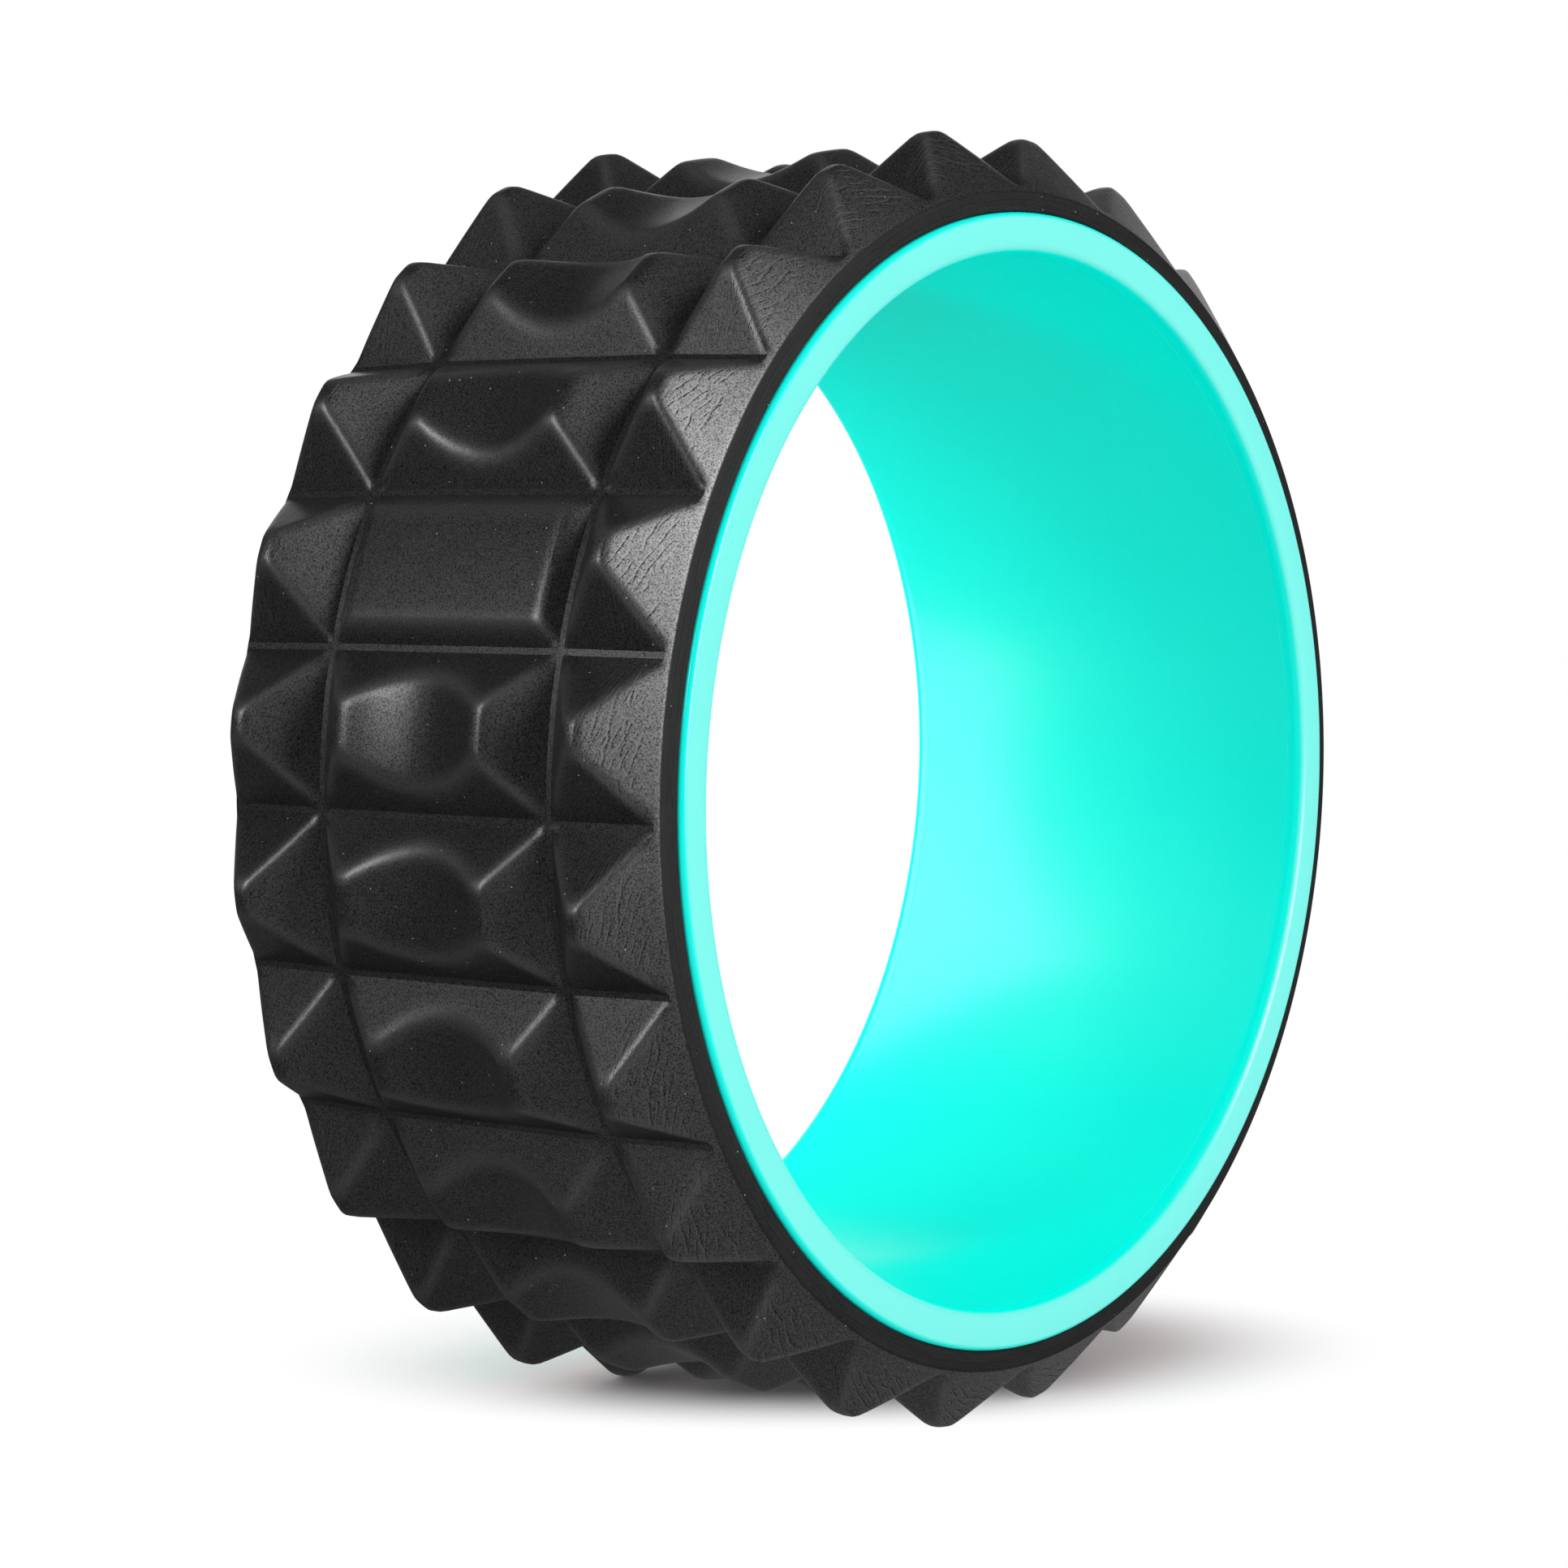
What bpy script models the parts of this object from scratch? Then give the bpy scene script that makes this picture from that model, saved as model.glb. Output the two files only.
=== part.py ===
# Back roller wheel: a stiff plastic hoop with a moulded foam tread bonded round it.
# The wheel's axis is +Y. The origin is on it, midway between the hoop's near end and the foam's far
# side, because the foam is bonded a little off the hoop's middle. It stands on two rows of knobs.

import math

import bmesh
import bpy

# Hoop, in metres
HOOP_OUTER_DIAMETER = 0.2654
HOOP_WALL = 0.0096
HOOP_WIDTH = 0.1232
BORE_EDGE_ROUND = 0.0026
RIM_EDGE_ROUND = 0.0015

# Bond between hoop and foam
BOND_THICKNESS = 0.0004
BOND_SIDE_INSET = 0.0050
FIT_GAP = 0.0003

# Foam tread: heights are above the floor of the grooves that run round the wheel
FOAM_WIDTH = 0.1248
FOAM_SHIFT = 0.0022
FOAM_BASE = 0.0062
SIDE_KNOB_HEIGHT = 0.0126
SADDLE_HEIGHT = 0.0098
PLAIN_BLOCK_HEIGHT = 0.0052
SHOULDER_DROP = 0.0024
SHOULDER_DRAFT = 0.0008
SHOULDER_ROUND = 0.0005

# Tread pattern, measured along the axis from the foam's middle
COLUMN_GROOVE_OFFSET = 0.0329
GROOVE_FLOOR_WIDTH = 0.0015
SADDLE_PEAK_OFFSET = 0.0195
SADDLE_PEAK_WIDTH = 0.0034
SIDE_TIP_OFFSET = 0.0480
SIDE_TIP_WIDTH = 0.0032
KNOB_EDGE_ROUND = 0.0010
SCOOP_DEPTH = 0.0051

# Tread pattern round the wheel
ROW_COUNT = 24
ROW_GROOVE_SLOPE = math.radians(32.1)
ROW_GROOVE_LIFT = 0.0010
PLAIN_BLOCK_ROW = 10

# Fineness of the round surfaces
FACETS_PER_ROW = 4
SCOOP_SEGMENTS = 8
ROUND_SEGMENTS = 3
CUT_MARGIN = 0.0020

# Sizes that follow
WHEEL_FACETS = ROW_COUNT * FACETS_PER_ROW
ROW_PITCH = math.tau / ROW_COUNT
HOOP_OUTER_RADIUS = HOOP_OUTER_DIAMETER / 2
HOOP_INNER_RADIUS = HOOP_OUTER_RADIUS - HOOP_WALL
BOND_INNER_RADIUS = HOOP_OUTER_RADIUS + FIT_GAP
BOND_OUTER_RADIUS = BOND_INNER_RADIUS + BOND_THICKNESS
FOAM_INNER_RADIUS = BOND_OUTER_RADIUS + FIT_GAP
FOAM_HALF_WIDTH = FOAM_WIDTH / 2
HOOP_MIDDLE = -(FOAM_HALF_WIDTH + FOAM_SHIFT - HOOP_WIDTH / 2) / 2
COLUMN_FLOOR_RADIUS = FOAM_INNER_RADIUS + FOAM_BASE
ROW_FLOOR_RADIUS = COLUMN_FLOOR_RADIUS + ROW_GROOVE_LIFT
SIDE_TIP_RADIUS = COLUMN_FLOOR_RADIUS + SIDE_KNOB_HEIGHT
SADDLE_RADIUS = COLUMN_FLOOR_RADIUS + SADDLE_HEIGHT
PLAIN_BLOCK_RADIUS = COLUMN_FLOOR_RADIUS + PLAIN_BLOCK_HEIGHT
SHOULDER_RADIUS = COLUMN_FLOOR_RADIUS - SHOULDER_DROP


def clear_scene():
    for old in list(bpy.data.objects):
        bpy.data.objects.remove(old)


def new_collection(name):
    collection = bpy.data.collections.new(name)
    bpy.context.scene.collection.children.link(collection)
    return collection


def new_material(name, color, roughness, metallic=0.0):
    material = bpy.data.materials.new(name)
    material.use_nodes = True
    shader = material.node_tree.nodes["Principled BSDF"]
    shader.inputs["Base Color"].default_value = (*color, 1.0)
    shader.inputs["Roughness"].default_value = roughness
    shader.inputs["Metallic"].default_value = metallic
    return material


# Profile points are (radius, distance along the axis)

def rounded_corner(before, corner, after, radius):
    # A circular arc that touches both lines that meet at the corner
    def unit(to):
        across, along = to[0] - corner[0], to[1] - corner[1]
        length = math.hypot(across, along)
        return (across / length, along / length)

    inward, outward = unit(before), unit(after)
    half_angle = math.acos(inward[0] * outward[0] + inward[1] * outward[1]) / 2
    reach = radius / math.sin(half_angle)
    middle = ((inward[0] + outward[0]), (inward[1] + outward[1]))
    middle_length = math.hypot(*middle)
    centre = tuple(c + m / middle_length * reach for c, m in zip(corner, middle))
    setback = radius / math.tan(half_angle)
    start = tuple(c + u * setback for c, u in zip(corner, inward))
    end = tuple(c + u * setback for c, u in zip(corner, outward))
    first = math.atan2(start[1] - centre[1], start[0] - centre[0])
    last = math.atan2(end[1] - centre[1], end[0] - centre[0])
    sweep = (last - first + math.pi) % math.tau - math.pi
    angles = [first + sweep * step / ROUND_SEGMENTS for step in range(ROUND_SEGMENTS + 1)]
    return [(centre[0] + radius * math.cos(a), centre[1] + radius * math.sin(a)) for a in angles]


def rounded_outline(corners):
    # Each corner is (radius, along, rounding)
    outline = []
    count = len(corners)
    for index, (radius, along, rounding) in enumerate(corners):
        if rounding:
            before = corners[index - 1][:2]
            after = corners[(index + 1) % count][:2]
            outline += rounded_corner(before, (radius, along), after, rounding)
        else:
            outline.append((radius, along))
    return outline


def mirrored(half):
    # The second half runs back along the other side of the wheel's mid-plane
    return half + [(point[0], -point[1], *point[2:]) for point in reversed(half) if point[1] > 0]


def turning_axis(name, along, collection):
    # An empty on the wheel's axis, whose own Z axis points along the wheel's -Y
    axle = bpy.data.objects.new(name, None)
    collection.objects.link(axle)
    axle.location.y = along
    axle.rotation_euler.x = math.pi / 2
    return axle


def turned(name, outline, collection, axle):
    # The outline is closed and goes once round the wheel's axis
    mesh = bpy.data.meshes.new(name)
    count = len(outline)
    edges = [(index, (index + 1) % count) for index in range(count)]
    mesh.from_pydata([(radius, 0.0, along) for radius, along in outline], edges, [])
    piece = bpy.data.objects.new(name, mesh)
    collection.objects.link(piece)
    piece.parent = axle
    screw = piece.modifiers.new("turn", "SCREW")
    screw.axis = "Z"
    screw.angle = math.tau
    screw.steps = WHEEL_FACETS
    screw.render_steps = WHEEL_FACETS
    screw.use_merge_vertices = True
    screw.merge_threshold = 0.00001
    return piece


def wedge(name, inner_radius, outer_radius, inner_half, outer_half, half_length, collection, axle):
    # A block along the axis that is wider across its outer face than across its inner one
    bm = bmesh.new()
    bmesh.ops.create_cube(bm, size=2.0)
    for vert in bm.verts:
        outer = vert.co.x > 0
        vert.co.x = outer_radius if outer else inner_radius
        vert.co.y *= outer_half if outer else inner_half
        vert.co.z *= half_length
    mesh = bpy.data.meshes.new(name)
    bm.to_mesh(mesh)
    bm.free()
    block = bpy.data.objects.new(name, mesh)
    collection.objects.link(block)
    block.parent = axle
    return block


def hide_as_guide(guide):
    guide.hide_render = True
    guide.display_type = "WIRE"


def add_boolean(piece, name, operation, cutter):
    boolean = piece.modifiers.new(name, "BOOLEAN")
    boolean.operation = operation
    boolean.solver = "EXACT"
    boolean.object = cutter
    return boolean


def add_material(piece, material):
    piece.data.materials.append(material)
    piece.data.shade_smooth()


def hoop(parts, axle):
    half_width = HOOP_WIDTH / 2
    half = [
        (HOOP_INNER_RADIUS, half_width, BORE_EDGE_ROUND),
        (HOOP_OUTER_RADIUS, half_width, RIM_EDGE_ROUND),
    ]
    piece = turned("core_hoop", rounded_outline(mirrored(half)), parts, axle)
    add_material(piece, new_material("teal_plastic", (0.0, 0.80, 0.62), 0.25))


def bond_layer(parts, axle):
    half_width = FOAM_HALF_WIDTH - BOND_SIDE_INSET
    half = [(BOND_INNER_RADIUS, half_width), (BOND_OUTER_RADIUS, half_width)]
    piece = turned("bond_layer", mirrored(half), parts, axle)
    add_material(piece, new_material("adhesive_film", (0.75, 0.72, 0.60), 0.60))


def scoop_arc():
    # The spine channel is an arc as wide as the space between the saddle's two peaks
    half_width = SADDLE_PEAK_OFFSET - SADDLE_PEAK_WIDTH / 2
    arc_radius = (half_width**2 + SCOOP_DEPTH**2) / (2 * SCOOP_DEPTH)
    centre = SADDLE_RADIUS - SCOOP_DEPTH + arc_radius
    half_angle = math.asin(half_width / arc_radius)
    steps = SCOOP_SEGMENTS // 2
    angles = [half_angle * (steps - step) / steps for step in range(steps + 1)]
    return [(centre - arc_radius * math.cos(a), arc_radius * math.sin(a)) for a in angles]


def tread_outline():
    half_floor = GROOVE_FLOOR_WIDTH / 2
    half_tip = SIDE_TIP_WIDTH / 2
    corners = [
        (FOAM_INNER_RADIUS, FOAM_HALF_WIDTH, 0),
        (SHOULDER_RADIUS, FOAM_HALF_WIDTH - SHOULDER_DRAFT, SHOULDER_ROUND),
        (SIDE_TIP_RADIUS, SIDE_TIP_OFFSET + half_tip, KNOB_EDGE_ROUND),
        (SIDE_TIP_RADIUS, SIDE_TIP_OFFSET - half_tip, KNOB_EDGE_ROUND),
        (COLUMN_FLOOR_RADIUS, COLUMN_GROOVE_OFFSET + half_floor, 0),
        (COLUMN_FLOOR_RADIUS, COLUMN_GROOVE_OFFSET - half_floor, 0),
        (SADDLE_RADIUS, SADDLE_PEAK_OFFSET + SADDLE_PEAK_WIDTH / 2, KNOB_EDGE_ROUND),
    ]
    corners += [(radius, along, 0) for radius, along in scoop_arc()]
    return rounded_outline(mirrored(corners))


def row_groove_cutters(cutters, axle):
    # One tapered groove across the tread, repeated round the wheel
    top_radius = SIDE_TIP_RADIUS + CUT_MARGIN
    floor_half = GROOVE_FLOOR_WIDTH / 2
    top_half = floor_half + (top_radius - ROW_FLOOR_RADIUS) / math.tan(ROW_GROOVE_SLOPE)
    half_length = FOAM_HALF_WIDTH + CUT_MARGIN
    groove = wedge("row_groove_cutter", ROW_FLOOR_RADIUS, top_radius, floor_half, top_half,
                   half_length, cutters, axle)
    next_row = bpy.data.objects.new("next_row", None)
    cutters.objects.link(next_row)
    next_row.parent = axle
    next_row.rotation_euler.z = ROW_PITCH
    array = groove.modifiers.new("rows", "ARRAY")
    array.count = ROW_COUNT
    array.use_relative_offset = False
    array.use_object_offset = True
    array.offset_object = next_row
    hide_as_guide(groove)
    return groove


def plain_block_cutter(cutters, axle):
    # Takes one saddle down to a low flat block, between its four grooves
    top_radius = SIDE_TIP_RADIUS + CUT_MARGIN
    half = [(PLAIN_BLOCK_RADIUS, COLUMN_GROOVE_OFFSET), (top_radius, COLUMN_GROOVE_OFFSET)]
    ring = turned("plain_block_cutter", mirrored(half), cutters, axle)
    spread = math.tan(ROW_PITCH / 2)
    far_radius = top_radius + CUT_MARGIN
    sector = wedge("plain_block_sector", FOAM_INNER_RADIUS, far_radius,
                   FOAM_INNER_RADIUS * spread, far_radius * spread, FOAM_HALF_WIDTH, cutters, axle)
    sector.rotation_euler.z = (PLAIN_BLOCK_ROW + 0.5) * ROW_PITCH
    add_boolean(ring, "one_row", "INTERSECT", sector)
    hide_as_guide(ring)
    hide_as_guide(sector)
    return ring


def tread(parts, cutters, axle):
    piece = turned("foam_tread", tread_outline(), parts, axle)
    grooves = add_boolean(piece, "row_grooves", "DIFFERENCE", row_groove_cutters(cutters, axle))
    grooves.use_self = True
    add_boolean(piece, "plain_block", "DIFFERENCE", plain_block_cutter(cutters, axle))
    add_material(piece, new_material("charcoal_foam", (0.018, 0.018, 0.019), 0.80))


def main():
    clear_scene()
    parts = new_collection("back_roller_wheel")
    cutters = new_collection("cutters")
    foam_axis = turning_axis("foam_axis", HOOP_MIDDLE + FOAM_SHIFT, parts)
    hoop(parts, turning_axis("hoop_axis", HOOP_MIDDLE, parts))
    bond_layer(parts, foam_axis)
    tread(parts, cutters, foam_axis)


main()
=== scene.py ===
import math

import bmesh
import bpy
from mathutils import Matrix, Vector


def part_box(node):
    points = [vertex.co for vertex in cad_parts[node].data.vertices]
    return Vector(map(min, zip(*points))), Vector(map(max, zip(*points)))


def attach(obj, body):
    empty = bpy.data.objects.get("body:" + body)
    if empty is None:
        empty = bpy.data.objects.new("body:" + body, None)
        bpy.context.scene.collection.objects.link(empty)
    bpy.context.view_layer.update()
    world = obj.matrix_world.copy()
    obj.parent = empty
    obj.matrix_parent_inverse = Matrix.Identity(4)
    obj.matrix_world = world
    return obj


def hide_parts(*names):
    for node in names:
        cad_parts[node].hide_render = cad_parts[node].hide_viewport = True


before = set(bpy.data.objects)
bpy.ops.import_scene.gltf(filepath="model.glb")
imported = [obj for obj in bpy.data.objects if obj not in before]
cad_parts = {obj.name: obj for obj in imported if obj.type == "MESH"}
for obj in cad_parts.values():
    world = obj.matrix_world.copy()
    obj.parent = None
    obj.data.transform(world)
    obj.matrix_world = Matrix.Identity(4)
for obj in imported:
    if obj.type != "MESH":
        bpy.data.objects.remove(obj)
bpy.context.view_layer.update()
print("frame loaded")

mm = 0.001
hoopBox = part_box("core_hoop")
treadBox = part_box("foam_tread")


def alongMiddle(box):
    return (box[0].y + box[1].y) / 2


def halfLength(box):
    return (box[1].y - box[0].y) / 2


# The foam is bonded a little off the hoop's middle
hoopMiddle = alongMiddle(hoopBox)
treadMiddle = alongMiddle(treadBox)


class Wire:
    # One socket of a node tree. Sums written with it add their own Math nodes.
    def __init__(self, tree, socket=None):
        self.tree = tree
        self.socket = socket

    def add(self, kind, settings=None, sockets=None, out=0):
        # Any other node, and the wire from one of its outputs
        node = self.tree.nodes.new(kind)
        for name, value in (settings or {}).items():
            setattr(node, name, value)
        for name, value in (sockets or {}).items():
            target = pickSocket(node.inputs, name)
            if isinstance(value, Wire):
                self.tree.links.new(value.socket, target)
            else:
                target.default_value = value
        return Wire(self.tree, pickSocket(node.outputs, out))

    def calc(self, operation, *others, clamp=False):
        values = dict(enumerate([self, *others]))
        return self.add("ShaderNodeMath", {"operation": operation, "use_clamp": clamp}, values)

    def __add__(self, other):
        return self.calc("ADD", other)

    def __sub__(self, other):
        return self.calc("SUBTRACT", other)

    def __rsub__(self, other):
        return self.add("ShaderNodeMath", {"operation": "SUBTRACT"}, {0: other, 1: self})

    def __mul__(self, other):
        return self.calc("MULTIPLY", other)

    def __truediv__(self, other):
        return self.calc("DIVIDE", other)

    def __rtruediv__(self, other):
        return self.add("ShaderNodeMath", {"operation": "DIVIDE"}, {0: other, 1: self})

    __radd__ = __add__
    __rmul__ = __mul__

    def clamped(self):
        return self.calc("ADD", 0.0, clamp=True)

    def fade(self, start, end):
        # 0 up to start, 1 from end on, with a smooth rise between
        return self.add("ShaderNodeMapRange", {"interpolation_type": "SMOOTHSTEP"},
                        {"Value": self, "From Min": start, "From Max": end})

    def split(self):
        first = self.add("ShaderNodeSeparateXYZ", sockets={0: self})
        return [Wire(self.tree, output) for output in first.socket.node.outputs]


def pickSocket(sockets, name):
    if isinstance(name, int):
        return sockets[name]
    return next(s for s in sockets if s.enabled and name in (s.name, s.identifier))


def point(x, y, z=0.0):
    return x.add("ShaderNodeCombineXYZ", sockets={"X": x, "Y": y, "Z": z})


def distance(first, second):
    # From the middle, for a place given by two lengths at right angles
    return (first * first + second * second).calc("SQRT")


def noise(place, scale, detail, roughness=0.5):
    return place.add("ShaderNodeTexNoise", {"noise_dimensions": "3D"},
                     {"Vector": place, "Scale": scale, "Detail": detail, "Roughness": roughness})


def mixColours(factor, first, second):
    # Each of the two is a wire or a plain colour
    first, second = (side if isinstance(side, Wire) else (*side, 1.0) for side in (first, second))
    return factor.add("ShaderNodeMix", {"data_type": "RGBA"},
                      {"Factor_Float": factor, "A_Color": first, "B_Color": second}, "Result_Color")


def newObject(name, mesh):
    thing = bpy.data.objects.new(name, mesh)
    bpy.context.scene.collection.objects.link(thing)
    return thing


def newMaterial(name):
    # Gives the material, the start of its tree and its one Principled shader
    material = bpy.data.materials.new(name)
    material.use_nodes = True
    shader = material.node_tree.nodes["Principled BSDF"]
    return material, Wire(material.node_tree), shader


def join(wire, shader, name):
    wire.tree.links.new(wire.socket, shader.inputs[name])


def joinBump(height, shader):
    # The height is in millimetres
    bump = height.add("ShaderNodeBump", sockets={"Height": height, "Distance": mm, "Strength": 1.0})
    join(bump, shader, "Normal")


# Camera, where the photograph was taken from

cameraPlan = {
    "place": (-0.79180, -0.59209, 0.07524),
    "turn": -52.67,
    "rise": 4.49,
    "roll": -0.70,
    "lens": 93.5,
    "film": 36.0,
    "clip": (0.05, 50.0),
}


def makeCamera(plan):
    turn, rise, roll = (math.radians(plan[key]) for key in ("turn", "rise", "roll"))
    back = Vector((math.sin(turn) * math.cos(rise), -math.cos(turn) * math.cos(rise), math.sin(rise)))
    level = Vector((math.cos(turn), math.sin(turn), 0.0))
    up = back.cross(level)
    across = math.cos(roll) * level + math.sin(roll) * up
    upright = math.cos(roll) * up - math.sin(roll) * level
    data = bpy.data.cameras.new("photoCamera")
    data.lens = plan["lens"]
    data.sensor_width = plan["film"]
    data.clip_start, data.clip_end = plan["clip"]
    camera = newObject("photoCamera", data)
    facing = Matrix((across, upright, back)).transposed()
    camera.matrix_world = Matrix.Translation(plan["place"]) @ facing.to_4x4()
    bpy.context.scene.camera = camera


makeCamera(cameraPlan)
bpy.context.scene.view_settings.view_transform = "Standard"
print("camera placed")


# Foam tread

treadPlan = {
    "rows": 24,
    "stations": 14,  # points up each wall of a row groove
    "rowFloor": 139.9 * mm,
    "floorDrop": 1.1 * mm,
    "grooveEnd": 60.6 * mm,
    "wallPeak": 154.9 * mm,
    "columnFloor": 139.9 * mm,
    "floorWidth": 1.5 * mm,
    "softness": 3.0 * mm,
    "tipSoftness": 1.6 * mm,
    "columnGroove": 32.9 * mm,
    "sideTip": (152.4 * mm, 46.4 * mm, 49.6 * mm),  # radius, inner edge, outer edge
    "saddlePeak": (149.7 * mm, 17.8 * mm, 21.2 * mm),  # the same
    "scoopDepth": 5.1 * mm,
    "scoopPlaces": (0.0, 1.6 * mm, 3.2 * mm, 4.8 * mm),
    "halfWidth": halfLength(treadBox),
    "shoulder": 137.5 * mm,
    "sideDraft": 0.8 * mm,
    "shoulderRound": 0.45 * mm,
    "shoulderLead": 0.4 * mm,
    # Radius past the shoulder's, and distance past the side's upper edge
    "shoulderTurn": [(0.13 * mm, -0.14 * mm), (-0.20 * mm, 0.0), (-0.50 * mm, 0.08 * mm)],
    "plainRow": 10,
    "plainTop": 143.5 * mm,
    "plainSoftness": 1.4 * mm,
    "boreRadius": 133.8 * mm,
    "lipClearance": 0.15 * mm,
    "lipWidth": 3.0 * mm,
    "lipSlope": 0.5 * mm,
    # Radius past the lip's, and distance past the side
    "lipTurn": [(2.5 * mm, -0.40 * mm), (0.3 * mm, 0.0), (0.0, -0.3 * mm)],
    "tipMargin": 0.8 * mm,
    "tipSteps": 9,
    "slopeMargin": 0.02,
    "leastStep": 0.3 * mm,
    "unevenness": 0.10 * mm,
    "unevenScale": 55.0,
    "raisedReach": (0.02, 0.25),
}

# Points nearer than the first are merged. Edges bent past the second stay crisp, but not on a ridge.
closing = {"mergeWithin": 0.002 * mm, "crispBend": math.radians(26), "softRidge": 0.05}


def softMin(first, second, reach):
    # As a Math node's soft minimum is worked out
    near = max(reach - abs(first - second), 0.0) / reach
    return min(first, second) - near**3 * reach / 6


def stationShares(plan):
    # Places up a row groove's wall: 0 at the groove's edge, 1 at the block's middle
    return [step / (plan["stations"] - 1) for step in range(plan["stations"])]


def wallReach(plan):
    return plan["wallPeak"] * math.tan(math.pi / plan["rows"])


def wallRadius(plan, along, share):
    # The row grooves run down a little toward the wheel's sides
    half = plan["floorWidth"] / 2
    outward = (along - plan["columnGroove"]) / (plan["grooveEnd"] - plan["columnGroove"])
    floor = plan["rowFloor"] - plan["floorDrop"] * min(max(outward, 0.0), 1.0)
    reach = half + share * (wallReach(plan) - half)
    return math.hypot(reach, floor + share * (plan["wallPeak"] - floor))


def scoopArc(plan):
    # Radius of the scoop's arc, from its half width and its depth
    inner, depth = plan["saddlePeak"][1], plan["scoopDepth"]
    return (inner**2 + depth**2) / (2 * depth)


def treadHeight(plan, along):
    # Radius of the tread's section before the row grooves are cut
    half = plan["floorWidth"] / 2
    floor = plan["columnFloor"]
    reach = plan["tipSoftness"]
    groove = plan["columnGroove"]
    if along > groove:
        tip, inner, outer = plan["sideTip"]
        edge = plan["halfWidth"] - plan["sideDraft"]
        inward = floor + max(along - groove - half, 0.0) * (tip - floor) / (inner - groove - half)
        outward = tip - (along - outer) * (tip - plan["shoulder"]) / (edge - outer)
        return softMin(tip, softMin(inward, outward, reach), reach)
    tip, _, outer = plan["saddlePeak"]
    arc = scoopArc(plan)
    scoop = tip - plan["scoopDepth"] + arc - math.sqrt(max(arc**2 - along**2, 0.0))
    outward = floor + (groove - half - along) * (tip - floor) / (groove - half - outer)
    return max(softMin(tip, softMin(scoop, outward, reach), reach), floor)


def levelStops(plan, first, last):
    # Places on a straight slope that are as high as the row walls are at their stations
    stops = []
    for share in stationShares(plan):
        start = first[0] - wallRadius(plan, first[1], share)
        end = last[0] - wallRadius(plan, last[1], share)
        part = start / (start - end)
        if plan["slopeMargin"] < part < 1 - plan["slopeMargin"]:
            stops.append(first[1] + part * (last[1] - first[1]))
    return stops


def tipStops(plan, inner, outer):
    # Even places over a ridge and a little past both of its edges
    first, last = inner - plan["tipMargin"], outer + plan["tipMargin"]
    return [first + (last - first) * step / plan["tipSteps"] for step in range(plan["tipSteps"])]


def treadSection(plan):
    # Points are (radius, distance from the foam's middle), once round the section, from the bore
    radii = [wallRadius(plan, 0.0, share) for share in stationShares(plan)]
    half = plan["floorWidth"] / 2
    groove = plan["columnGroove"]
    side = plan["halfWidth"]
    edge = side - plan["sideDraft"]
    tip, tipInner, tipOuter = plan["sideTip"]
    peak, peakInner, peakOuter = plan["saddlePeak"]
    arc = scoopArc(plan)
    bottom = peak - plan["scoopDepth"]
    shoulderStart = edge - plan["shoulderRound"]

    # Where the section needs points between the middle and the shoulder
    places = {math.sqrt(arc**2 - (bottom + arc - r) ** 2) for r in radii if bottom < r < peak}
    places.update(plan["scoopPlaces"])
    places.update(tipStops(plan, peakInner, peakOuter))
    places.update(levelStops(plan, (peak, peakOuter), (plan["columnFloor"], groove - half)))
    places.update([groove - half, groove, groove + half])
    places.update(levelStops(plan, (plan["columnFloor"], groove + half), (tip, tipInner)))
    places.update(tipStops(plan, tipInner, tipOuter))
    places.update(levelStops(plan, (tip, tipOuter), (plan["shoulder"], edge)))
    places.update([shoulderStart - plan["shoulderLead"], shoulderStart])
    ordered = sorted(place for place in places if place <= shoulderStart)
    kept = [ordered[0]]
    for place in ordered[1:]:
        if place - kept[-1] > plan["leastStep"]:
            kept.append(place)

    # From there over the shoulder, down the side, round the lip and into the bore
    lip = hoopBox[1].x + plan["lipClearance"]
    lipEnd = side - plan["lipWidth"]
    outer = [(treadHeight(plan, place), place) for place in kept]
    outer += [(plan["shoulder"] + out, edge + past) for out, past in plan["shoulderTurn"]]
    outer += [(lip + out, side + past) for out, past in plan["lipTurn"]]
    outer += [(lip, lipEnd), (plan["boreRadius"], lipEnd - plan["lipSlope"])]
    farHalf = [(plan["boreRadius"], 0.0)] + outer[::-1]
    return farHalf + [(radius, -along) for radius, along in farHalf[-2::-1]]


def startTree(name, sizes):
    # A Geometry Nodes tree with a named input for each size, and the wires from them
    tree = bpy.data.node_groups.new(name, "GeometryNodeTree")
    kinds = {int: "NodeSocketInt", float: "NodeSocketFloat", bpy.types.Material: "NodeSocketMaterial"}
    tree.interface.new_socket("Geometry", in_out="INPUT", socket_type="NodeSocketGeometry")
    for label, value in sizes.items():
        tree.interface.new_socket(label, in_out="INPUT", socket_type=kinds[type(value)])
    tree.interface.new_socket("Geometry", in_out="OUTPUT", socket_type="NodeSocketGeometry")
    source = tree.nodes.new("NodeGroupInput")
    return tree, {output.name: Wire(tree, output) for output in source.outputs if output.name}


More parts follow.
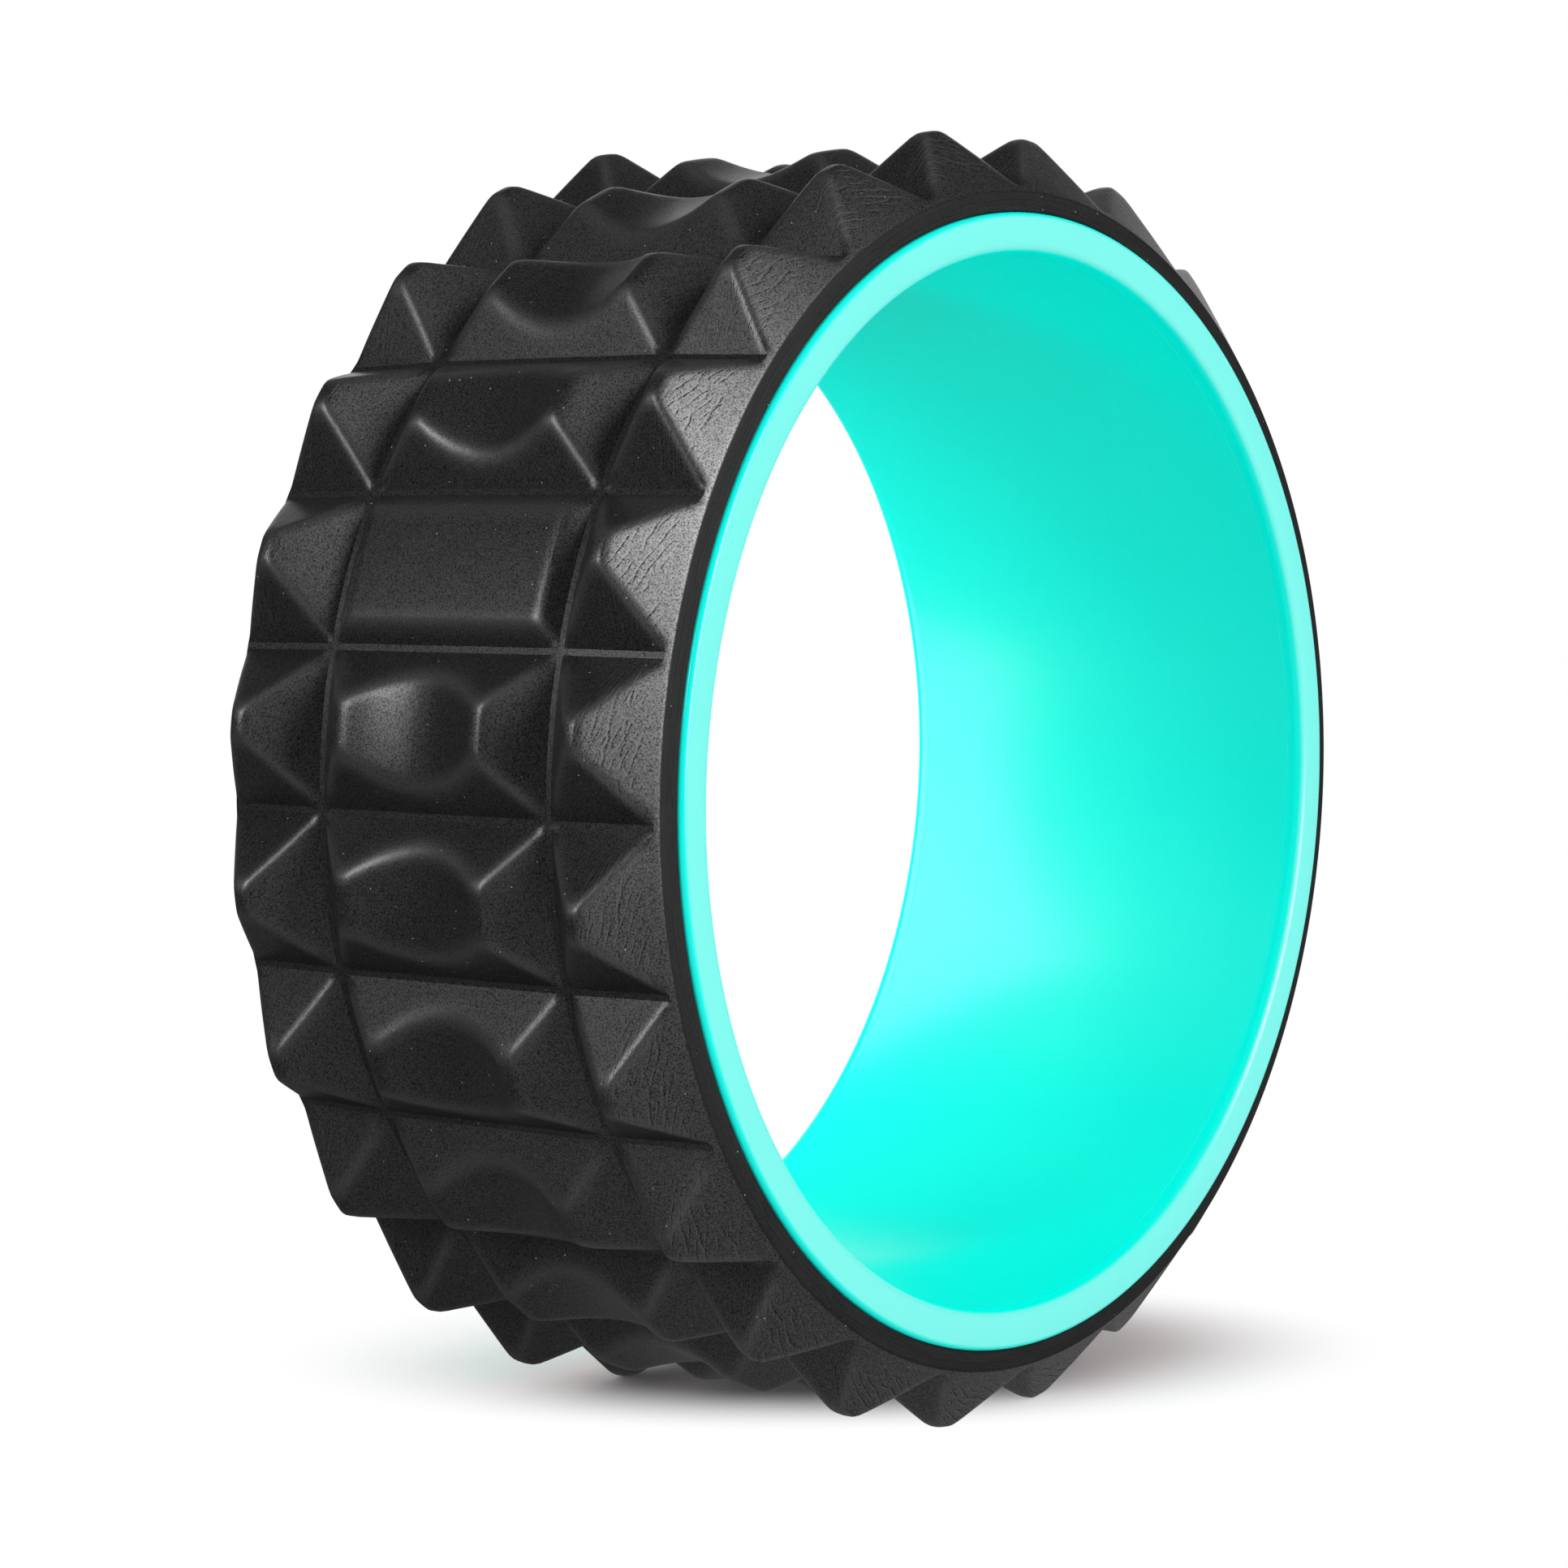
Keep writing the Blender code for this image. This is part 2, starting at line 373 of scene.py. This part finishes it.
def runTree(tree, finished, sizes, name, section):
    # Puts the tree on the section's points and keeps the result as a plain mesh
    out = tree.nodes.new("NodeGroupOutput")
    tree.links.new(finished.socket, out.inputs[0])
    mesh = bpy.data.meshes.new(name + "Section")
    mesh.from_pydata([(radius, 0.0, along) for radius, along in section], [], [])
    maker = newObject(name + "Maker", mesh)
    modifier = maker.modifiers.new("turned", "NODES")
    modifier.node_group = tree
    for item in tree.interface.items_tree:
        if item.in_out == "INPUT" and item.name in sizes:
            modifier[item.identifier] = sizes[item.name]
    maker.update_tag()
    depsgraph = bpy.context.evaluated_depsgraph_get()
    result = bpy.data.meshes.new_from_object(maker.evaluated_get(depsgraph), depsgraph=depsgraph)
    bpy.data.objects.remove(maker)
    result.name = name
    finish = result.materials[-1]
    result.materials.clear()
    result.materials.append(finish)
    return newObject(name, result)


def turnedGrid(given, columns):
    # A grid with a column for each step round the wheel, and a row for each point of the section.
    # Each of its points gets its column, and its radius and place along the axis from the section.
    section = given["Geometry"]
    count = section.add("GeometryNodeAttributeDomainSize", sockets={0: section}, out="Point Count")
    grid = count.add("GeometryNodeMeshGrid", sockets={"Vertices X": columns + 1, "Vertices Y": count},
                     out="Mesh")
    index = count.add("GeometryNodeInputIndex")
    column = (index / count).calc("FLOOR")
    spot = count.add("GeometryNodeInputPosition")
    sampled = count.add("GeometryNodeSampleIndex", {"data_type": "FLOAT_VECTOR"},
                        {"Geometry": section, "Value": spot, "Index": index.calc("MODULO", count)})
    radius, _, along = sampled.split()
    return grid, column, radius, along


def closeUp(mesh, place, material):
    # Moves the grid to its place and closes it
    moved = place.add("GeometryNodeSetPosition", sockets={"Geometry": mesh, "Position": place})
    merged = place.add("GeometryNodeMergeByDistance",
                       sockets={"Geometry": moved, "Distance": closing["mergeWithin"]})
    cut = place.add("GeometryNodeTriangulate", {"quad_method": "LONGEST_DIAGONAL"}, {"Mesh": merged})
    bend = place.add("GeometryNodeInputMeshEdgeAngle", out="Unsigned Angle")
    ridge = place.add("GeometryNodeInputNamedAttribute", {"data_type": "FLOAT"}, {"Name": "ridge"},
                      "Attribute")
    onRidge = ridge.calc("GREATER_THAN", closing["softRidge"])
    soft = bend.calc("LESS_THAN", closing["crispBend"]).calc("MAXIMUM", onRidge)
    smooth = place.add("GeometryNodeSetShadeSmooth", {"domain": "FACE"}, {"Geometry": cut})
    smooth = place.add("GeometryNodeSetShadeSmooth", {"domain": "EDGE"},
                       {"Geometry": smooth, "Shade Smooth": soft})
    real = place.add("GeometryNodeRealizeInstances", sockets={"Geometry": smooth})
    return place.add("GeometryNodeSetMaterial", sockets={"Geometry": real, "Material": material})


def cylinderPlace(angle, radius, along):
    return point(radius * angle.calc("COSINE"), along, radius * angle.calc("SINE"))


def keep(mesh, label, kind, value):
    # Stores a value on the mesh, where the material reads it
    return value.add("GeometryNodeStoreNamedAttribute", {"data_type": kind},
                     {"Geometry": mesh, "Name": label, "Value": value})


def makeTread(plan, material):
    sizes = {
        "rows": plan["rows"],
        "stations": plan["stations"],
        "row floor radius": plan["rowFloor"],
        "floor drop": plan["floorDrop"],
        "floor width": plan["floorWidth"],
        "groove end": plan["grooveEnd"],
        "wall peak radius": plan["wallPeak"],
        "wall reach": wallReach(plan),
        "softness": plan["softness"],
        "plain row": plan["plainRow"],
        "plain top radius": plan["plainTop"],
        "plain softness": plan["plainSoftness"],
        "column groove": plan["columnGroove"],
        "saddle peak": plan["saddlePeak"][1],
        "unevenness": plan["unevenness"],
        "uneven scale": plan["unevenScale"],
        "middle": treadMiddle,
        "foam": material,
    }
    tree, given = startTree("treadMaker", sizes)
    perRow = given["stations"] * 2
    grid, column, section, along = turnedGrid(given, given["rows"] * perRow)

    # Where the station lies in its row: 0 at the groove's middle, 1 at its edge, then up the wall
    row = (column / perRow).calc("FLOOR")
    step = column - row * perRow
    past = step.calc("GREATER_THAN", given["stations"])
    station = given["stations"] - (step - given["stations"]).calc("ABSOLUTE")
    share = (station - 1).calc("MAXIMUM", 0.0) / (given["stations"] - 1)
    fromMiddle = along.calc("ABSOLUTE")
    outward = (fromMiddle - given["column groove"]) / (given["groove end"] - given["column groove"])
    outward = outward.calc("MAXIMUM", 0.0).calc("MINIMUM", 1.0)
    floor = given["row floor radius"] - given["floor drop"] * outward
    half = given["floor width"] / 2
    reach = station.calc("MINIMUM", 1.0) * half + share * (given["wall reach"] - half)
    deep = floor + share * (given["wall peak radius"] - floor)
    turn = reach.calc("ARCTAN2", deep)
    wall = distance(reach, deep)
    pitch = math.tau / given["rows"]
    angle = row * pitch + turn + past * (pitch - turn * 2)

    # The row grooves, and the one block that is left low and plain. The lid cuts its top, and stands
    # a metre higher everywhere else.
    isPlain = row.calc("COMPARE", given["plain row"], 0.1)
    isPlain = isPlain * fromMiddle.calc("LESS_THAN", given["column groove"])
    lid = given["plain top radius"] + (1 - isPlain)
    inScoop = isPlain * fromMiddle.calc("LESS_THAN", given["saddle peak"])
    inScoop = inScoop * section.calc("GREATER_THAN", floor)
    section = section.calc("MAXIMUM", inScoop * given["plain top radius"])
    carved = section.calc("SMOOTH_MIN", wall, given["softness"])
    carved = carved.calc("SMOOTH_MIN", lid, given["plain softness"])
    carved = carved.calc("MAXIMUM", section.calc("MINIMUM", floor))
    height = (carved - floor) / (given["wall peak radius"] - floor)
    waves = noise(cylinderPlace(angle, carved, along), given["uneven scale"], 1.0)
    raised = height.fade(*plan["raisedReach"])
    uneven = carved + (waves - 0.5) * 2 * given["unevenness"] * raised
    ridge = 1 - (section.calc("MINIMUM", lid) - wall).calc("ABSOLUTE") / given["softness"]

    mesh = keep(grid, "rise", "FLOAT", height)
    mesh = keep(mesh, "ridge", "FLOAT", ridge.calc("MAXIMUM", 0.0) * raised)
    onBlock = point((angle - (row + 0.5) * pitch) * carved, along, row)
    mesh = keep(mesh, "onBlock", "FLOAT_VECTOR", onBlock)
    finished = closeUp(mesh, cylinderPlace(angle, uneven, along + given["middle"]), given["foam"])
    return runTree(tree, finished, sizes, "foamTread", treadSection(plan))


foamLook = {
    "charcoal": (0.0015, 0.0015, 0.0016),
    "paler": (0.0100, 0.0100, 0.0104),
    # Painted on ridges and crease lips: mostly a painted highlight, partly wear
    "paintedHighlightAndWear": (0.030, 0.030, 0.031),
    "dust": (0.45, 0.45, 0.45),
    "specular": 0.30,
    "skinIor": 2.02,
    "skinRoughness": 0.40,
    # Scale and detail of each noise
    "grain": (2500.0, 1.0),
    "cells": (520.0, 2.0),
    "patches": (45.0, 3.0),
    # What each mark adds to the paler colour, the roughness, the skin's shine and the height in mm; the
    # creases' tone darkens the folds as painted shade
    "tone": {"grain": 3.0, "patches": 0.6, "plain": 0.15, "creases": -0.8, "rings": 4.0},
    "roughness": {"plain": 0.40, "grain": 0.2, "patches": 0.12, "creases": 0.15, "side": 0.30},
    "skin": {"plain": 0.69, "grain": 2.6, "ridges": 0.25, "lips": 0.35, "creases": -0.48},
    "height": {"grain": 0.030, "cells": 0.035, "patches": 0.25, "creases": -0.10, "rings": 0.15},
    # How far each hides the colour under it
    "cover": {"ridges": 0.7, "lips": 0.5, "dust": 0.7},
    "dustScale": 250.0,
    "dustSize": (0.03, 0.05),
    # Rings cut by the blade: how close they lie, and how much they wander and break up
    "sideFace": (61.15 * mm, 61.5 * mm),
    "ringScale": 1400,
    "ringWander": 5,
    "ringBreaks": 3,
    "ringNoise": (1.0, 3.0, 0.6),
}

creaseLook = {
    "sets": [
        {"turn": math.radians(74), "spacing": 1.3 * mm, "shift": 0.0},
        {"turn": math.radians(84), "spacing": 2.1 * mm, "shift": 5.0},
    ],
    "halfWidth": (0.02 * mm, 0.16 * mm),
    "lipShift": 0.16,
    "scale": (110, 80, 3.7),  # across the folds, along them, and from row to row
    "waves": (1.0, 3.0, 0.6),
    "waveReach": 1.6,
    "rowShift": 0.37,
    "breaksFrom": (7.0, 3.0, 11.0),
    "breaks": (2.6, 1.0),
    "breakEdge": (0.44, 0.54),
    # Where they lie: on the outer faces, near the tips, and a few elsewhere, but not at the foot
    "outerFaces": (48.0 * mm, 50.0 * mm),
    "tipFaces": (38.0 * mm, 42.0 * mm),
    "tipRise": (0.60, 0.85),
    "tipShare": 0.7,
    "leastShare": 0.08,
    "footRise": (0.05, 0.25),
}


def creaseLines(look, onBlock, kind):
    # Long wavy lines side by side, each broken off here and there
    across, along, row = onBlock.split()
    beside = across * math.cos(kind["turn"]) - along * math.sin(kind["turn"])
    onward = across * math.sin(kind["turn"]) + along * math.cos(kind["turn"])
    besideScale, onwardScale, rowScale = look["scale"]
    spot = point(beside * besideScale + kind["shift"], onward * onwardScale, row * rowScale)
    folds = beside / kind["spacing"] + noise(spot, *look["waves"]) * look["waveReach"]
    folds = folds + row * look["rowShift"]
    elsewhere = spot.add("ShaderNodeVectorMath", {"operation": "ADD"}, {0: spot, 1: look["breaksFrom"]},
                         "Vector")
    whole = noise(elsewhere, *look["breaks"]).fade(*look["breakEdge"])

    def lineAt(shift):
        shifted = folds + shift
        off = (shifted - shifted.calc("FLOOR") - 0.5).calc("ABSOLUTE") * kind["spacing"]
        return (1 - off.fade(*look["halfWidth"])) * whole

    # The fold itself, and its lip, which is painted lighter as a highlight
    return lineAt(0.0), lineAt(look["lipShift"])


def foamMaterial(look, creases):
    material, start, shader = newMaterial("charcoalFoam")
    place = start.add("ShaderNodeTexCoord", out="Object")
    rise = start.add("ShaderNodeAttribute", {"attribute_name": "rise"}, out="Fac")
    ridge = start.add("ShaderNodeAttribute", {"attribute_name": "ridge"}, out="Fac")
    onBlock = start.add("ShaderNodeAttribute", {"attribute_name": "onBlock"}, out="Vector")
    grain = noise(place, *look["grain"])
    cells = noise(place, *look["cells"])
    patches = noise(place, *look["patches"])
    across, along, up = place.split()
    fromMiddle = (along - treadMiddle).calc("ABSOLUTE")

    # Creases left by pulling the foam off its mould
    lines = [creaseLines(creases, onBlock, kind) for kind in creases["sets"]]
    folds, lips = (first.calc("MAXIMUM", second) for first, second in zip(*lines))
    outer = fromMiddle.fade(*creases["outerFaces"])
    nearTip = fromMiddle.fade(*creases["tipFaces"]) * rise.fade(*creases["tipRise"])
    share = outer.calc("MAXIMUM", nearTip * creases["tipShare"]).calc("MAXIMUM", creases["leastShare"])
    aboveFoot = rise.fade(*creases["footRise"])
    creased = folds * aboveFoot * share
    lipped = lips * aboveFoot * share

    # Fine dust
    speck = start.add("ShaderNodeTexVoronoi", {"voronoi_dimensions": "3D", "feature": "F1"},
                      {"Vector": place, "Scale": look["dustScale"]}, "Distance")
    dusty = 1 - speck.fade(*look["dustSize"])

    # Rings that the trimming blade left round the sides
    sideFace = fromMiddle.fade(*look["sideFace"])
    outward = distance(across, up) * look["ringScale"] + patches * look["ringWander"]
    rings = noise(point(outward, patches * look["ringBreaks"]), *look["ringNoise"])
    trimmed = sideFace * (rings - 0.5)

    tone, cover = look["tone"], look["cover"]
    paler = (grain - 0.5) * tone["grain"] + patches * tone["patches"] + tone["plain"]
    # The folds are painted darker, as painted shade
    paler = paler + creased * tone["creases"] + trimmed * tone["rings"]
    colour = mixColours(paler.clamped(), look["charcoal"], look["paler"])
    # Ridges and crease lips are painted paler: mostly a painted highlight, partly wear
    paintedHighlightAndWear = (ridge * cover["ridges"]).calc("MAXIMUM", lipped * cover["lips"])
    colour = mixColours(paintedHighlightAndWear, colour, look["paintedHighlightAndWear"])
    join(mixColours(dusty * cover["dust"], colour, look["dust"]), shader, "Base Color")

    # The sides, where the foam was trimmed, are duller
    rough = look["roughness"]
    roughness = rough["plain"] + (grain - 0.5) * rough["grain"] + (patches - 0.5) * rough["patches"]
    roughness = roughness + creased * rough["creases"] + sideFace * rough["side"]
    join(roughness, shader, "Roughness")
    shader.inputs["Specular IOR Level"].default_value = look["specular"]

    # The moulded skin's soft shine, broken by the grain and the creases and gone where it was trimmed
    shine = look["skin"]
    skin = shine["plain"] + (grain - 0.5) * shine["grain"] + ridge * shine["ridges"]
    skin = skin + lipped * shine["lips"] + creased * shine["creases"]
    skin = skin * (1 - sideFace)
    join(skin.clamped(), shader, "Coat Weight")
    shader.inputs["Coat IOR"].default_value = look["skinIor"]
    shader.inputs["Coat Roughness"].default_value = look["skinRoughness"]

    raised = look["height"]
    height = grain * raised["grain"] + cells * raised["cells"] + patches * raised["patches"]
    joinBump(height + creased * raised["creases"] + trimmed * raised["rings"], shader)
    return material


tread = makeTread(treadPlan, foamMaterial(foamLook, creaseLook))
print("tread made,", len(tread.data.polygons), "triangles")


# Plastic hoop

hoopPlan = {
    "outerRadius": hoopBox[1].x,
    "wall": 9.6 * mm,
    "halfWidth": halfLength(hoopBox),
    "boreEdgeRound": 2.6 * mm,
    "boreEdgeDepth": 4.0 * mm,
    "rimEdgeRound": 1.5 * mm,
    "rimLead": 4.0 * mm,
    "crown": 0.12 * mm,
    "stepDepth": 0.08 * mm,
    "stepInset": 4.8 * mm,
    "stepSlope": 0.15 * mm,
    "stepLead": 3.0 * mm,
    "turns": 288,
    "roundSteps": 8,
}


def hoopSection(plan):
    # Points are (radius, distance from the hoop's middle), once round the wall's section
    outer, inner = plan["outerRadius"], plan["outerRadius"] - plan["wall"]
    half, crown, steps = plan["halfWidth"], plan["crown"], plan["roundSteps"]
    bore, deep = plan["boreEdgeRound"] - plan["stepDepth"], plan["boreEdgeDepth"]
    rim = plan["rimEdgeRound"]
    mouth, inset = inner + plan["stepDepth"], half - plan["stepInset"]
    quarter = [math.pi / 2 * step / steps for step in range(steps + 1)]
    edge = half - crown
    side = [(inner, 0.0), (inner, inset - plan["stepLead"]), (inner, inset - plan["stepSlope"])]
    side += [(mouth, inset)]
    side += [(mouth + bore * (1 - math.cos(a)), edge - deep * (1 - math.sin(a))) for a in quarter]

    # The end face is highest halfway between its two rounds
    first, last = mouth + bore, outer - rim
    for step in range(1, steps):
        share = step / steps
        side.append((first + (last - first) * share, edge + crown * 4 * share * (1 - share)))
    side += [(outer - rim * (1 - math.sin(a)), edge - rim * (1 - math.cos(a))) for a in quarter]
    side += [(outer, half - plan["rimLead"]), (outer, 0.0)]
    return side + [(radius, -along) for radius, along in side[-2::-1]]


def makeHoop(plan, material):
    sizes = {"turns": plan["turns"], "middle": hoopMiddle, "plastic": material}
    tree, given = startTree("hoopMaker", sizes)
    grid, column, radius, along = turnedGrid(given, given["turns"])
    angle = column * (math.tau / given["turns"])
    finished = closeUp(grid, cylinderPlace(angle, radius, along + given["middle"]), given["plastic"])
    return runTree(tree, finished, sizes, "plasticHoop", hoopSection(plan))


tealLook = {
    "teal": (0.0, 0.92, 0.80),
    "deeper": (0.0, 0.89, 0.77),
    # Painted light on the end faces
    "litEndFace": (0.20, 0.90, 0.82),
    "endReach": (60.0 * mm, 60.9 * mm),
    "outerEdge": (131.3 * mm, 132.2 * mm),
    "roughness": 0.20,
    "specular": 0.38,
    # Scale and detail of each noise, and what it adds to the roughness and to the height in mm
    "clouds": (18.0, 2.0),
    "peel": (90.0, 1.0),
    "fine": (900.0, 2.0),
    "cloudRoughness": 0.06,
    "fineRoughness": 0.06,
    "peelHeight": 0.012,
    "fineHeight": 0.0015,
}


def tealMaterial(look):
    material, start, shader = newMaterial("tealPlastic")
    place = start.add("ShaderNodeTexCoord", out="Object")
    clouds = noise(place, *look["clouds"])
    peel = noise(place, *look["peel"])
    fine = noise(place, *look["fine"])

    # The hoop's end faces are painted a paler teal, up to their outer round: painted light for how
    # brightly they are lit
    across, along, up = place.split()
    litEnd = (along - hoopMiddle).calc("ABSOLUTE").fade(*look["endReach"])
    litEnd = litEnd * (1 - distance(across, up).fade(*look["outerEdge"]))
    colour = mixColours(clouds, look["deeper"], look["teal"])
    join(mixColours(litEnd, colour, look["litEndFace"]), shader, "Base Color")

    roughness = look["roughness"] + (clouds - 0.5) * look["cloudRoughness"]
    join(roughness + (fine - 0.5) * look["fineRoughness"], shader, "Roughness")
    shader.inputs["Specular IOR Level"].default_value = look["specular"]
    joinBump(peel * look["peelHeight"] + fine * look["fineHeight"], shader)
    return material


hoop = makeHoop(hoopPlan, tealMaterial(tealLook))
print("hoop made,", len(hoop.data.polygons), "triangles")


# Adhesive between them, which stays as the frame has it

filmLook = {
    "film": (0.75, 0.72, 0.60),
    "thin": (0.62, 0.58, 0.46),
    "thinEdge": (0.35, 0.65),
    "roughness": 0.55,
    "spread": (140.0, 3.0),
    "spreadRoughness": 0.2,
    "spreadHeight": 0.1,
}


def filmMaterial(look):
    material, start, shader = newMaterial("adhesiveFilm")
    place = start.add("ShaderNodeTexCoord", out="Object")
    spread = noise(place, *look["spread"])
    join(mixColours(spread.fade(*look["thinEdge"]), look["thin"], look["film"]), shader, "Base Color")
    join(look["roughness"] + (spread - 0.5) * look["spreadRoughness"], shader, "Roughness")
    joinBump(spread * look["spreadHeight"], shader)
    return material


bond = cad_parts["bond_layer"]
film = filmMaterial(filmLook)
if bond.material_slots:
    bond.material_slots[0].material = film
else:
    bond.data.materials.append(film)
print("adhesive given its finish")


# Floor, backdrop and lamps

stagePlan = {
    "floorHalf": 6.0,
    "floorColour": (0.80, 0.745, 0.75),
    "floorRoughness": 0.9,
    "shadowTurn": -52.67,
    "shadowMiddle": (0.0, -0.042),
    "shadowHalf": (0.145, 0.090),
    "shadowReach": (0.50, 1.0),
    "shadowShare": 0.97,
    "backdropToward": (0.79, 0.61, 0.0),
    "backdropEdge": (0.75, 1.0),
    "roomGlow": 0.58,
    "glossGlow": 0.05,
    # What gloss shows of the floor near the wheel, behind it and in front of it: a painted glow, dimmer
    # behind as a painted shadow of the wheel
    "floorGloss": (0.08, 0.24),
    "floorGlossAcross": (-0.10, 0.10),
    "floorGlossReach": (0.4, 1.5),
}


def lightRays(start, *names):
    # 1 for any of these kinds of ray
    rays = [start.add("ShaderNodeLightPath", out=name) for name in names]
    found = rays[0]
    for ray in rays[1:]:
        found = found.calc("MAXIMUM", ray)
    return found


def backdropLevel(plan, start, facing):
    # What gloss shows of the studio: the white backdrop behind the object, and the dim room in front
    behind = start.add("ShaderNodeVectorMath", {"operation": "DOT_PRODUCT"},
                       {0: facing, 1: plan["backdropToward"]}, "Value").fade(*plan["backdropEdge"])
    return plan["glossGlow"] + (1 - plan["glossGlow"]) * behind


def makeFloor(plan, height):
    material, start, shader = newMaterial("paleFloor")
    tree = material.node_tree
    shader.inputs["Base Color"].default_value = (*plan["floorColour"], 1.0)
    shader.inputs["Roughness"].default_value = plan["floorRoughness"]
    shader.inputs["Specular IOR Level"].default_value = 0.0
    place = start.add("ShaderNodeTexCoord", out="Object")
    across, along, _ = place.split()

    # The shadow shows in an oval under the wheel, and the floor is white outside it
    turn = math.radians(plan["shadowTurn"])
    middle, half = plan["shadowMiddle"], plan["shadowHalf"]
    wide = (across * math.cos(turn) + along * math.sin(turn) - middle[0]) / half[0]
    deep = (across * math.sin(turn) - along * math.cos(turn) - middle[1]) / half[1]
    white = 1 - (1 - distance(wide, deep).fade(*plan["shadowReach"])) * plan["shadowShare"]
    white = white * lightRays(start, "Is Camera Ray", "Is Transmission Ray")

    # Gloss on the object sees a dim floor near it, and the studio further off. Near the wheel the floor
    # glows at painted levels, dimmer behind it as a painted shadow.
    gloss = lightRays(start, "Is Glossy Ray")
    facing = start.add("ShaderNodeVectorMath", {"operation": "NORMALIZE"}, {0: place}, "Vector")
    inGloss = backdropLevel(plan, start, facing)
    atBack, inFront = plan["floorGloss"]
    near = inFront + along.fade(*plan["floorGlossAcross"]) * (atBack - inFront)
    farOff = distance(across, along).fade(*plan["floorGlossReach"])
    inGloss = inGloss + (1 - farOff) * (near - inGloss)
    strength = 1 - gloss * (1 - inGloss)
    glow = start.add("ShaderNodeEmission", sockets={"Color": (1.0, 1.0, 1.0, 1.0), "Strength": strength})
    mixed = start.add("ShaderNodeMixShader", sockets={
        0: white.calc("MAXIMUM", gloss), 1: Wire(tree, shader.outputs[0]), 2: glow})
    tree.links.new(mixed.socket, tree.nodes["Material Output"].inputs["Surface"])

    reach = plan["floorHalf"]
    mesh = bpy.data.meshes.new("paleFloor")
    bm = bmesh.new()
    corners = [(-reach, -reach), (reach, -reach), (reach, reach), (-reach, reach)]
    bm.faces.new([bm.verts.new((x, y, height)) for x, y in corners])
    bm.to_mesh(mesh)
    bm.free()
    floor = newObject("paleFloor", mesh)
    mesh.materials.append(material)


def makeWorld(plan):
    # A white backdrop behind the object, in a dimmer room
    world = bpy.data.worlds.new("studio")
    world.use_nodes = True
    tree = world.node_tree
    start = Wire(tree)
    backdrop = tree.nodes["Background"]
    backdrop.inputs["Color"].default_value = (1.0, 1.0, 1.0, 1.0)
    facing = start.add("ShaderNodeTexCoord", out="Generated")
    seen = lightRays(start, "Is Camera Ray", "Is Transmission Ray")
    gloss = lightRays(start, "Is Glossy Ray")
    level = plan["roomGlow"] + gloss * (backdropLevel(plan, start, facing) - plan["roomGlow"])
    level = level + seen * (1 - level)
    join(level, backdrop, "Strength")
    bpy.context.scene.world = world


lampPlans = [
    {"name": "keyLamp", "kinds": "gloss", "glow": 13.0,
     "toward": (-0.06, -0.93, 0.34), "away": 3.0, "size": (1.3, 2.2)},
    {"name": "frontLamp", "kinds": "diffuse", "glow": 6.5,
     "toward": (-0.06, -0.93, 0.34), "away": 3.0, "size": (1.3, 2.2)},
    {"name": "leftLamp", "kinds": "diffuse gloss", "glow": 7.5,
     "toward": (-0.910, 0.210, 0.375), "away": 2.4, "size": (1.0, 0.6)},
    {"name": "backLamp", "kinds": "diffuse", "glow": 1.2,
     "toward": (-0.475, 0.60, 0.647), "away": 1.8, "size": (1.0, 1.0)},
    {"name": "topLamp", "kinds": "diffuse", "glow": 1.0,
     "toward": (0.15, 0.1, 1.0), "away": 1.6, "size": (1.2, 1.2)},
    {"name": "boreGlint", "kinds": "gloss", "glow": 2.5, "spread": 120,
     "toward": (-0.60, 0.78, 0.20), "away": 0.2, "aim": (0.126, 0.018, -0.024), "size": (0.12, 0.15)},
    {"name": "boreLamp", "kinds": "diffuse", "glow": 1.25, "spread": 120,
     "toward": (-0.55, 0.75, 0.35), "away": 0.25, "aim": (0.154, 0.048, -0.042), "size": (0.18, 0.22)},
]


def makeLamp(plan):
    data = bpy.data.lights.new(plan["name"], "AREA")
    data.shape = "RECTANGLE"
    data.size, data.size_y = plan["size"]
    data.energy = plan["glow"] * math.pi * data.size * data.size_y
    data.spread = math.radians(plan.get("spread", 180))
    lamp = newObject(plan["name"], data)
    aim = Vector(plan.get("aim", (0.0, 0.0, 0.0)))
    toward = Vector(plan["toward"]).normalized()
    facing = toward.to_track_quat("Z", "Y").to_matrix().to_4x4()
    lamp.matrix_world = Matrix.Translation(aim + toward * plan["away"]) @ facing
    lamp.visible_camera = False
    lamp.visible_glossy = "gloss" in plan["kinds"]
    lamp.visible_diffuse = "diffuse" in plan["kinds"]


lowest = min(corner[2] for corner in tread.bound_box)
makeFloor(stagePlan, lowest)
makeWorld(stagePlan)
for lampPlan in lampPlans:
    makeLamp(lampPlan)
print("stage set")


# What each piece stands for

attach(tread, "root")
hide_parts("foam_tread")
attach(hoop, "root")
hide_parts("core_hoop")
